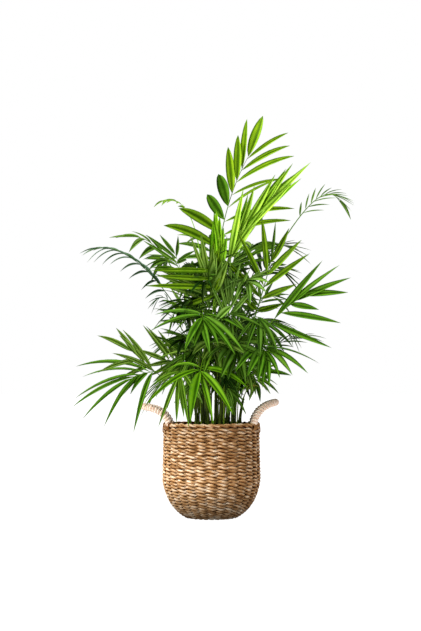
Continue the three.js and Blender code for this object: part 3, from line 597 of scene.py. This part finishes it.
def handle_line(loop):
    """The middle line of a handle from its front foot over the crest to its back foot, and its length."""
    share = np.linspace(0.0, 1.0, 200)
    rise = (np.sin(np.pi * share) ** HANDLE["fullness"])[:, None]
    flat = bend(*np.array([HANDLE["foot"], loop["rise"], loop["crest"]], float), rise)
    across = -HANDLE["half_span"] * np.cos(np.pi * share)
    points = np.stack([loop["side"] * flat[:, 0], across, flat[:, 1]], -1)
    length = run_length(points)
    places = np.linspace(0, length[-1], int(length[-1] / 2.0))
    return spots_at(places, length, points), length[-1]


def handle(loop):
    """A rope core with cord wound round it. The core takes the second slot, a darker rope colour that is
    painted shade in the grooves between the wraps.
    """
    rng = np.random.default_rng(loop["seed"])
    shape = Shape()
    core, length = handle_line(loop)
    flop = np.array([loop["side"] * 1.0, 0.0, 1.0])
    tube(shape, core, flop, HANDLE["core"], HANDLE["core"], sides=12, slot=1)
    turns = int(length / HANDLE["pitch"])
    places = np.linspace(0, 1, turns * HANDLE["turn_steps"])
    spots = spots_at(places, np.linspace(0, 1, len(core)), core)
    _, outward, sideways = frames(spots, flop)
    cycle = places * turns * 2 * np.pi
    spokes = outward * np.cos(cycle)[:, None] + sideways * np.sin(cycle)[:, None]
    wobble = 1 + 0.03 * np.sin(places * 57 + rng.uniform(0, 6)) + 0.02 * np.sin(places * 131)
    thick, high = HANDLE["cord"]
    path = spots + spokes * (HANDLE["radius"] - thick) * wobble[:, None]
    tube(shape, path, spokes, thick, high, sides=8)
    return shape


def lash_foot(shape, rng, middle):
    """Cord wound over the border at a handle's foot."""
    ring = ring_angles(20)
    for turn in (-1.0, 0.0, 1.0):
        angle = middle + turn * LASHING["pitch"] / LASHING["middle"]
        wide = LASHING["wide"] + rng.uniform(*LASHING["wide_draw"])
        tall = LASHING["tall"] + rng.uniform(*LASHING["tall_draw"])
        path = around(angle, LASHING["middle"] + wide * np.cos(ring), LASHING["level"] + tall * np.sin(ring))
        path = path + around(angle + math.pi / 2, LASHING["lean"] * np.sin(ring), 0.0)
        tube(shape, path, around(angle, np.cos(ring), np.sin(ring)), *LASHING["half_sizes"], sides=7,
             closed=True)


def rope_tail(shape, angle):
    """The end of a rope, which runs down outside the wall and is tucked in."""
    drop = np.linspace(0, 1, 14)
    radius = TAIL["radius"] + TAIL["bulge"] * np.sin(np.pi * np.minimum(drop * 1.6, 1.0) * 0.5)
    radius = radius - TAIL["tuck"] * np.maximum(drop - 0.8, 0) / 0.2
    path = around(angle, radius, TAIL["top"] - TAIL["drop"] * drop)
    tube(shape, path, around(angle, 1.0, 0.0), *TAIL["half_sizes"], sides=8)


def rope_feet():
    """The lashings at the handles' feet and the tails of their ropes."""
    rng = np.random.default_rng(17)
    shape = Shape()
    for loop in LOOPS.values():
        for end in (-1, 1):
            middle = math.atan2(end * HANDLE["half_span"], loop["side"] * HANDLE["foot"][0])
            lash_foot(shape, rng, middle)
            rope_tail(shape, middle - end * loop["side"] * TAIL["turn"])
    return shape


def soil_body():
    """Crumbly potting mix, closed underneath."""
    rng = np.random.default_rng(23)
    shape = Shape()
    facets = SOIL["facets"]
    rings = []
    for radius, level in SOIL["rings"]:
        ring = around(ring_angles(facets), radius, level)
        if level > SOIL["rough_above"]:
            ring[:, 2] += rng.normal(0, SOIL["roughness"], facets)
            ring[:, :2] += rng.normal(0, SOIL["roughness"], (facets, 2))
        rings.append(ring)
    corners = np.concatenate(rings) * MM
    shape.add(corners, corners[:, :2], grid_quads(len(rings), facets, False), end_caps(len(rings), facets))
    start, steepness = SOIL["dome"]
    for _ in range(SOIL["crumbs"]):
        radius = math.sqrt(rng.uniform(0, 1)) * (SOIL["edge"] - 4)
        drop = max(0.0, radius - start) ** 2 * steepness
        crumb(shape, rng, around(rng.uniform(0, 2 * math.pi), radius, SOIL["top"] - drop))
    return shape


def crumb(shape, rng, place):
    """A small irregular lump of bark or peat."""
    size = rng.uniform(*SOIL["crumb_size"])
    points = np.array(SOIL["crumb"])
    points = points * rng.uniform(*SOIL["crumb_corners"], points.shape) * size
    points = points * rng.uniform(*SOIL["crumb_axes"], 3)
    turn = rng.uniform(0, 2 * math.pi)
    spin = np.array([[math.cos(turn), -math.sin(turn), 0], [math.sin(turn), math.cos(turn), 0], [0, 0, 1]])
    points = (points @ spin.T + place) * MM
    faces = [face for side in range(5) for face in ((side, (side + 1) % 5, 5), ((side + 1) % 5, side, 6))]
    shape.add(points, points[:, :2], np.zeros((0, 4), int), np.array(faces))


def cane_point(cane, share):
    """The place at a share of a cane's height over the soil."""
    foot, top = cane
    return between(np.array([*foot, SOIL["top"]], float), np.array(top, float), share)


def cane_body(shape, cane, rng):
    """A slender cane with a flared foot and a swollen ring at each knot."""
    height = cane[1][2] - SOIL["top"]
    share = np.linspace(-0.02, 1.0, int(height / CANE["step"]))
    path = np.stack([cane_point(cane, one) for one in share])
    for axis in (0, 1):
        path[:, axis] += np.sin(share * math.pi) * rng.uniform(-CANE["bow"], CANE["bow"])
    level = share * height
    radius = between(*CANE["radius"], share)
    radius = radius + CANE["flare"] * np.maximum(0, 1 - level / CANE["flare_height"])
    gap = CANE["knot_gap"] * rng.uniform(*CANE["gap_draw"])
    past = (level + rng.uniform(0, gap)) % gap
    radius = radius + swelling(past, *CANE["knot"]) - swelling(past - CANE["waist_above"], *CANE["waist"])
    tube(shape, path, FRONT, radius, radius, sides=12)


def young_stalks(shape):
    """Thin stalks that leave the soil between the canes and lean a little outwards."""
    rng = np.random.default_rng(STALKS["seed"])
    stray, bow = STALKS["stray"], STALKS["bow"]
    for _ in range(STALKS["count"]):
        foot = np.array([rng.uniform(*STALKS["across"]), rng.uniform(*STALKS["deep"]),
                         SOIL["top"] - STALKS["below"]])
        top = np.array([*(foot[:2] * STALKS["spread"] + rng.uniform(-stray, stray, 2)),
                        rng.uniform(*STALKS["high"])])
        share = np.linspace(0, 1, 24)[:, None]
        path = between(foot, top, share) + rng.uniform(-bow, bow, 3) * np.sin(np.pi * share)
        radius = rng.uniform(*STALKS["radius"]) * (1 - STALKS["taper"] * share[:, 0])
        tube(shape, path, FRONT, radius, radius, sides=8, slot=int(rng.uniform() < STALKS["bright"]))


def rib_line(frond):
    """Finds the place on a frond's rib at a share of its length, and the ways along, up and across there."""
    face = unit(frond["face"])
    root = cane_point(CANES[frond["cane"]], frond["at"])
    over = np.array(frond["over"], float)
    tip = np.array(frond["tip"], float)

    def at(share):
        along = unit((over - root) * (1 - share) + (tip - over) * share)
        up = unit(face - along * np.dot(face, along))
        return bend(root, over, tip, share), along, up, np.cross(along, up)

    return at


def rib_body(shape, at, thick):
    """The stalk and rib, with a sheath where it leaves its cane."""
    share = np.linspace(0, 1, RIB["steps"])
    path, _, up, _ = (np.stack(rows) for rows in zip(*(at(one) for one in share)))
    radius = between(*RIB["radius"], share ** 0.8) * thick + swelling(share, *RIB["sheath"])
    tube(shape, path, up, radius, radius * RIB["flatness"], RIB["sides"])


def for_pair(values, pair, along, easing=1):
    """Two values ease from the first pair to the last, and a longer list has one for each pair."""
    if len(values) == 2:
        return between(values[1], values[0], (1 - along) ** easing)
    return values[pair]


def leaflet_body(shape, rng, spot, opening, length, width, sag, cup, form):
    """A thin folded blade: five corners across the top of each section and three below."""
    place, along, up, right = spot
    angle = math.radians(opening)
    way = unit(along * math.cos(angle) + right * math.sin(angle)) + up * cup
    sag = sag * math.hypot(way[0], way[1])
    steps = LEAFLET["steps"]
    share = np.linspace(0, 1, steps + 1) ** 0.92
    curl = rng.uniform(*LEAFLET["curl_draw"]) * math.sin(abs(angle))
    middle = (
        place + way * (length * share)[:, None]
        - UP * (sag * length * share ** 2)[:, None]
        + along * (curl * length * share ** 2)[:, None]
    )
    run = unit(np.gradient(middle, axis=0))
    first, more = (math.radians(rng.uniform(-LEAFLET["twist"], LEAFLET["twist"])) for _ in range(2))
    twist = first + more * share
    flat = unit(up - run * (run @ up)[:, None])
    across = np.cross(run, flat)
    normal = flat * np.cos(twist)[:, None] + across * np.sin(twist)[:, None]
    across = np.cross(run, normal)
    reach, swell = FORMS[form]
    half = np.sin(np.pi * np.minimum(share ** reach, 1)) ** swell * width / 2
    fold = LEAFLET["fold"] * rng.uniform(*LEAFLET["fold_draw"])
    body = LEAFLET["thickness"] * length * np.clip(1 - share ** 6, 0, 1)
    rings = np.empty((steps + 1, 8, 3))
    for corner, (spread, sink) in enumerate(zip(SECTION["across"], SECTION["sink"])):
        rise = fold * abs(spread) ** 1.2 * half - sink * body * 0.5
        rings[:, corner] = middle + across * (spread * half)[:, None] + normal * rise[:, None]
    corners = np.concatenate([rings[:-1].reshape(-1, 3), rings[-1].mean(0)[None]]) * MM
    start = rng.uniform(0, 60)
    over = np.tile((np.array(SECTION["across"]) + 1) / 2, steps)
    uvs = np.stack([np.repeat(share[:-1], 8) * length / 100 + start, over], -1)
    uvs = np.concatenate([uvs, [[length / 100 + start, 0.5]]])
    rim = np.zeros(len(corners), bool)
    for corner in SECTION["sharp"]:
        rim[corner::8] = True
    rim[-1] = True
    last = (steps - 1) * 8
    side = np.arange(8)
    fan = np.arange(1, 7)
    triangles = np.concatenate([
        np.stack([last + side, last + (side + 1) % 8, np.full(8, steps * 8)], -1),
        np.stack([np.zeros_like(fan), fan + 1, fan], -1),
    ])
    under = np.array([0, 0, 0, 0, 1, 1, 1, 1])
    shape.add(corners, uvs, grid_quads(steps, 8, False), triangles, rim, np.tile(under, steps - 1),
              np.concatenate([under, np.zeros(len(fan), int)]))


def side_leaflet(frond, at, pair, side, rng):
    """A leaflet's own tint, its spot on the rib, and its opening, length, width, sag, lift and form."""
    openings, *rest = frond.get("left" if side < 0 else "right", frond["sides"])
    lengths, widths, sags = (*rest, None, None, None)[:3]
    along = (pair + frond["shift"][side > 0]) / frond["pairs"]
    opening = for_pair(openings, pair, along, LEAFLET["easing"])
    if len(openings) == 2:
        swing = LEAFLET["swing"] * math.sin((pair * 2 + side) * LEAFLET["swing_step"])
        opening += swing + rng.uniform(-LEAFLET["opening_draw"], LEAFLET["opening_draw"])
    swell = math.sin(math.pi * (LEAFLET["swell_start"] + LEAFLET["swell_run"] * along))
    size = between(LEAFLET["least_length"], 1, swell)
    if lengths:
        length = for_pair(lengths, pair, along)
    else:
        length = frond["leaf"] * size * rng.uniform(*LEAFLET["length_draw"])
    wide = for_pair(widths or (frond["width"],) * 2, pair, along)
    return (
        frond["left_tint"].get(pair) if side < 0 else None,
        at(between(frond["bare"], LEAFLET["last_start"], along)),
        side * opening,
        length,
        wide * between(LEAFLET["least_width"], 1, size),
        for_pair(sags or (frond["sag"],) * 2, pair, along),
        frond["cup"] * rng.uniform(*LEAFLET["cup_draw"]),
        "blunt" if side < 0 and pair in frond["blunt"] else frond["form"],
    )


def leaflet_plan(frond, at, rng):
    """The leaflet at the tip and those on both sides, in pairs from the foot of the blade."""
    opening, length, width = (*frond["end"], None, None)[:3]
    length = length or frond["leaf"] * LEAFLET["end_length"]
    end = (None, at(1), opening, length, width or frond["width"], frond["sag"], 0, frond["form"])
    sides = [side_leaflet(frond, at, pair, side, rng) for pair in range(frond["pairs"]) for side in (-1, 1)]
    return [end, *sides]


def fill_fronds(fill):
    """Small fronds inside the crown, from seeded draws round the canes."""
    rng = np.random.default_rng(fill["seed"])
    fronds = []
    for number in range(fill["count"]):
        cane = int(rng.integers(0, FILL["canes"]))
        at = rng.uniform(*fill["at"])
        start = cane_point(CANES[cane], at)
        way = around(rng.uniform(0, 2 * math.pi), 1.0, 0.0)[:2]
        reach = rng.uniform(*fill["reach"])
        level = rng.uniform(max(min(start[2] + 10, fill["high"] - 10), fill["low"]), fill["high"])
        over = (*(start[:2] + way * reach * 0.5), level + FILL["rise"])
        tip = (*np.maximum(start[:2] + way * reach, FILL["edge"]), level)
        fronds.append(row(
            f"fill_{number}", cane, at, over, tip, FILL["tones"][number % len(FILL["tones"])],
            leaf=rng.uniform(*fill["leaf"]), width=fill["width"] * rng.uniform(*FILL["width_draw"]),
            sag=rng.uniform(*FILL["sag"]), face=FILL["face"],
        ))
    return fronds


def grow_fronds():
    """Every frond's rib and leaflets, gathered by tone and tint. A frond without a tint of its own draws one
    that most of its leaflets keep."""
    rng = np.random.default_rng(41)
    leaves = {(tone, tint): Shape() for tone in TINTS for tint in range(len(TINTS[tone]))}
    ribs = {tone: Shape() for tone in TINTS}
    for frond in FRONDS + FINE + [frond for fill in FILLS for frond in fill_fronds(fill)]:
        at = rib_line(frond)
        tone = frond["tone"]
        favourite, keep = int(rng.integers(0, 3)), LEAFLET["favourite_share"]
        if frond["tint"] is not None:
            favourite, keep = frond["tint"], 1
        rib_body(ribs[tone], at, RIB["slim"] if frond["width"] < RIB["slim_under_width"] else 1.0)
        for own, *leaflet in leaflet_plan(frond, at, rng):
            tint = favourite if rng.uniform() < keep else int(rng.integers(0, 3))
            leaflet_body(leaves[(tone, tint if own is None else own)], rng, *leaflet)
    return leaves, ribs


def add_node(tree, kind, values=(), links=(), **settings):
    """A shader node with its settings, its plain values and the sockets that feed it."""
    item = tree.nodes.new(f"ShaderNode{kind}")
    for key, value in settings.items():
        setattr(item, key, value)
    for key, value in dict(values).items():
        item.inputs[key].default_value = value
    for key, source in dict(links).items():
        tree.links.new(source, item.inputs[key])
    return item


class Material:
    """A principled material whose colour, bump and gloss come from nodes."""

    def __init__(self, name, values):
        self.material = bpy.data.materials.new(name)
        self.material.use_nodes = True
        self.tree = self.material.node_tree
        self.shader = self.tree.nodes["Principled BSDF"]
        for key, value in values.items():
            self.shader.inputs[key].default_value = value

    def node(self, kind, values=(), links=(), **settings):
        return add_node(self.tree, kind, values, links, **settings)

    def fed(self, colour, normal, roughness=None):
        """The material, with the sockets that drive its colour, its normal and its roughness if any."""
        for entry, source in (("Base Color", colour), ("Normal", normal), ("Roughness", roughness)):
            if source:
                self.tree.links.new(source, self.shader.inputs[entry])
        return self.material

    def ramp(self, source, stops):
        """The colour that a value picks from a row of stops."""
        ramp = self.node("ValToRGB", links={"Fac": source})
        elements = ramp.color_ramp.elements
        while len(elements) < len(stops):
            elements.new(0.5)
        for element, (place, colour) in zip(elements, stops):
            element.position = place
            element.color = colour
        return ramp.outputs["Color"]

    def mapped(self, kind, coordinate, scale, values, **settings):
        """A texture over object or UV coordinates, stretched by scale."""
        place = self.node("TexCoord").outputs[coordinate]
        stretch = self.node("Mapping", {"Scale": scale}, {"Vector": place})
        return self.node(kind, values, {"Vector": stretch.outputs["Vector"]}, **settings).outputs["Fac"]

    def noise(self, coordinate, stretch, scale, detail):
        """Soft random spots."""
        return self.mapped("TexNoise", coordinate, stretch, {"Scale": scale, "Detail": detail})

    def axis(self, coordinate, letter):
        """One axis of object or UV coordinates."""
        place = self.node("TexCoord").outputs[coordinate]
        return self.node("SeparateXYZ", links={"Vector": place}).outputs[letter]

    def multiply(self, first, second):
        """The product of two colours."""
        blend = self.node("Mix", {MIX_SHARE: 1.0}, {MIX_FIRST: first, MIX_SECOND: second},
                          data_type="RGBA", blend_type="MULTIPLY")
        return blend.outputs[MIX_RESULT]

    def bump(self, height, strength, distance, before=None):
        """The normal over a relief, on top of the one before."""
        links = {"Height": height, "Normal": before} if before else {"Height": height}
        return self.node("Bump", {"Strength": strength, "Distance": distance}, links).outputs["Normal"]


def leaf_material(name, hexes, roughness):
    """A plain green with veins along the leaflet, lengthwise streaks that are partly its own and partly
    painted shade and highlight, and a soft uneven gloss.
    """
    made = Material(name, {"Roughness": roughness, **LEAF["gloss"]})
    veins = made.mapped("TexWave", "UV", (0.0, 1.0, 1.0), {"Scale": 2.2, "Distortion": 0.0},
                        bands_direction="Y")
    bands = made.mapped("TexWave", "UV", (0.3, 1.0, 1.0),
                        {"Scale": 0.55, "Distortion": 3.0, "Detail": 1.0}, bands_direction="Y")
    grain = made.noise("Object", (1, 1, 1), 60.0, 3.0)
    deep, pale = ((*(min(part * times, 1) for part, times in zip(linear(hexes), LEAF[key])), 1.0)
                  for key in ("deep", "pale"))
    colour = made.multiply(made.ramp(grain, [(0.3, deep), (0.7, pale)]), made.ramp(bands, LEAF["streaks"]))
    normal = made.bump(grain, 0.12, 0.001, made.bump(veins, 0.2, 0.0005))
    gloss = made.node("MapRange", {"To Min": roughness - 0.08, "To Max": roughness + 0.1}, {"Value": grain})
    return made.fed(colour, normal, gloss.outputs["Result"])


def fibre_material(name, colours, patch_size, roughness, relief, foot_shade=1.0, under=WHITE, sheen=0.0):
    """Dry plant fibre: streaks along each strand, patches, painted shade at the foot and round each strand
    with a painted highlight on its upper outer side, and a fine relief.
    """
    made = Material(name, {"Roughness": roughness, "Sheen Weight": sheen, **FIBRE["gloss"]})
    streaks = made.noise("UV", (30, 900, 1), 1.0, 4.0)
    patches = made.noise("Object", patch_size, 1.0, 2.0)
    blend = made.node("Mix", {"Factor": FIBRE["patch_share"]}, {"A": streaks, "B": patches},
                      data_type="FLOAT")
    stops = [(place, linear(hexes)) for place, hexes in zip((0.3, 0.5, 0.68), colours)]
    colour = made.ramp(blend.outputs["Result"], stops)
    # Painted shade: darker towards the foot, by height
    levels = {"From Min": 0.0, "From Max": FIBRE["foot_height"], "To Min": foot_shade, "To Max": 1.0}
    rise = made.node("MapRange", levels, {"Value": made.axis("Object", "Z")})
    # Painted highlight on each strand's upper outer side and painted shade on its flanks and far side, by the
    # way round the strand
    turn = made.node("Math", {1: TUBE_WRAP}, {0: made.axis("UV", "Y")}, operation="DIVIDE")
    shade = made.ramp(turn.outputs["Value"], [FIBRE["outer"], FIBRE["flank"], (FIBRE["far"], under)])
    colour = made.multiply(colour, made.multiply(shade, rise.outputs["Result"]))
    return made.fed(colour, made.bump(streaks, relief, FIBRE["relief_depth"]))


def soil_material():
    """Dark crumbly potting mix."""
    made = Material("soil_mix", {"Roughness": 0.95, "Specular IOR Level": 0.1})
    grain = made.noise("Object", (1, 1, 1), 260.0, 5.0)
    stops = [(0.35, linear("0c0805")), (0.6, linear("2a1c12")), (0.8, linear("4a3524"))]
    return made.fed(made.ramp(grain, stops), made.bump(grain, 0.8, 0.002))


def stem_material(name, dark, light, roughness):
    """Green stem with lengthwise streaks."""
    made = Material(name, {"Roughness": roughness, **STEM_GLOSS})
    streaks = made.noise("Object", (260, 260, 26), 1.0, 3.0)
    colour = made.ramp(streaks, [(0.35, linear(dark)), (0.65, linear(light))])
    return made.fed(colour, made.bump(streaks, 0.3, 0.001))


def stage_floor():
    """A plain pale floor that glows a little, so that no shadow shows on it."""
    bpy.ops.mesh.primitive_circle_add(vertices=96, radius=30, fill_type="NGON", location=(0, 0, 0))
    floor = bpy.context.object
    floor.name = "floor"
    floor.data.materials.append(Material("pale_floor", FLOOR).material)


def key_light():
    """A soft key from the upper left."""
    key = bpy.data.lights.new("key", "SUN")
    key.energy = LIGHT["key"]
    key.angle = math.radians(LIGHT["softness"])
    key.color = LIGHT["key_colour"]
    put_in_view("key", key, LIGHT["key_from"], (0, 0, 0))


def surround():
    """White behind everything, and a dimmer even light on it."""
    world = bpy.data.worlds.new("surround")
    bpy.context.scene.world = world
    world.use_nodes = True
    tree = world.node_tree
    glow = tree.nodes["Background"]
    glow.inputs["Color"].default_value = WHITE
    glow.inputs["Strength"].default_value = LIGHT["surround"]
    white = add_node(tree, "Background", {"Color": WHITE})
    seen = add_node(tree, "LightPath")
    mix = add_node(tree, "MixShader", links={
        0: seen.outputs["Is Camera Ray"], 1: glow.outputs[0], 2: white.outputs[0],
    })
    tree.links.new(mix.outputs[0], tree.nodes["World Output"].inputs["Surface"])


def put_in_view(name, data, place, target):
    """Places a camera or lamp so that it looks at a point."""
    item = bpy.data.objects.new(name, data)
    item.location = place
    item.rotation_euler = (Vector(target) - Vector(place)).to_track_quat("-Z", "Y").to_euler()
    bpy.context.scene.collection.objects.link(item)
    return item


def camera():
    """The photograph's viewing angle and framing."""
    lens = bpy.data.cameras.new("camera")
    lens.sensor_fit = "VERTICAL"
    distance = math.dist(CAMERA["place"], CAMERA["target"])
    lens.lens = lens.sensor_height * distance / CAMERA["frame_height"]
    lens.clip_end = CAMERA["reach"]
    bpy.context.scene.camera = put_in_view("camera", lens, CAMERA["place"], CAMERA["target"])


def basket():
    """The woven basket with its border, handles and potting mix."""
    weave, shade, rope, painted_groove_shade, tail = (fibre_material(name, **look) for name, look in FIBRES.items())
    lower, upper = basket_weave()
    upper.piece("weave_upper", "wicker", [weave], ["basket_shell"])
    lower.piece("weave_lower", "wicker", [weave])
    # The lining and the stakes take the dark copy of the wicker, painted shade in the weave's gaps
    basket_lining().piece("lining", "wicker", [shade])
    basket_stakes().piece("stakes", "wicker", [shade])
    basket_border().piece("border", "wicker", [weave], ["basket_border"])
    for name, loop in LOOPS.items():
        handle(loop).piece(f"rope_handle_{name}", "rope", [rope, painted_groove_shade], [f"handle_{name}"])
    rope_feet().piece("rope_tails", "rope", [tail])
    soil_body().piece("potting_mix", "soil", [soil_material()], ["soil"])


def plant():
    """The canes, the young stalks, and the fronds' ribs and leaflets by tone."""
    rng = np.random.default_rng(29)
    shape = Shape()
    for cane in CANES:
        cane_body(shape, cane, rng)
    young_stalks(shape)
    names = [f"cane_{number + 1}" for number in range(len(CANES))]
    # The canes' streaked green is partly their own and runs down to a near-black that is painted shade among
    # the canes
    cane = stem_material("cane", "141e06", "55691f", 0.55)
    stalk = stem_material("stalk", "46640f", "8aa832", 0.5)
    shape.piece("canes", "cane", [cane, stalk], names)
    leaves, ribs = grow_fronds()
    for tone, rib in ribs.items():
        names = [f"frond_{own['name']}" for own in FRONDS if own["tone"] == tone]
        stem = stem_material(f"rib_{tone}", TINTS[tone][0], TINTS[tone][PALE], 0.5)
        rib.piece(f"ribs_{tone}", f"leaf_{tone}", [stem], names)
    for (tone, tint), shape in leaves.items():
        if shape.count:
            top = leaf_material(f"leaf_{tone}_{tint}", TINTS[tone][tint], LEAF["roughness"])
            under = leaf_material(f"leaf_{tone}_{tint}_under", TINTS[tone][PALE], LEAF["under_roughness"])
            shape.piece(f"leaflets_{tone}_{tint}", f"leaf_{tone}", [top, under])


stage_floor()
surround()
key_light()
camera()
basket()
plant()
bpy.context.scene.view_settings.view_transform = "Standard"
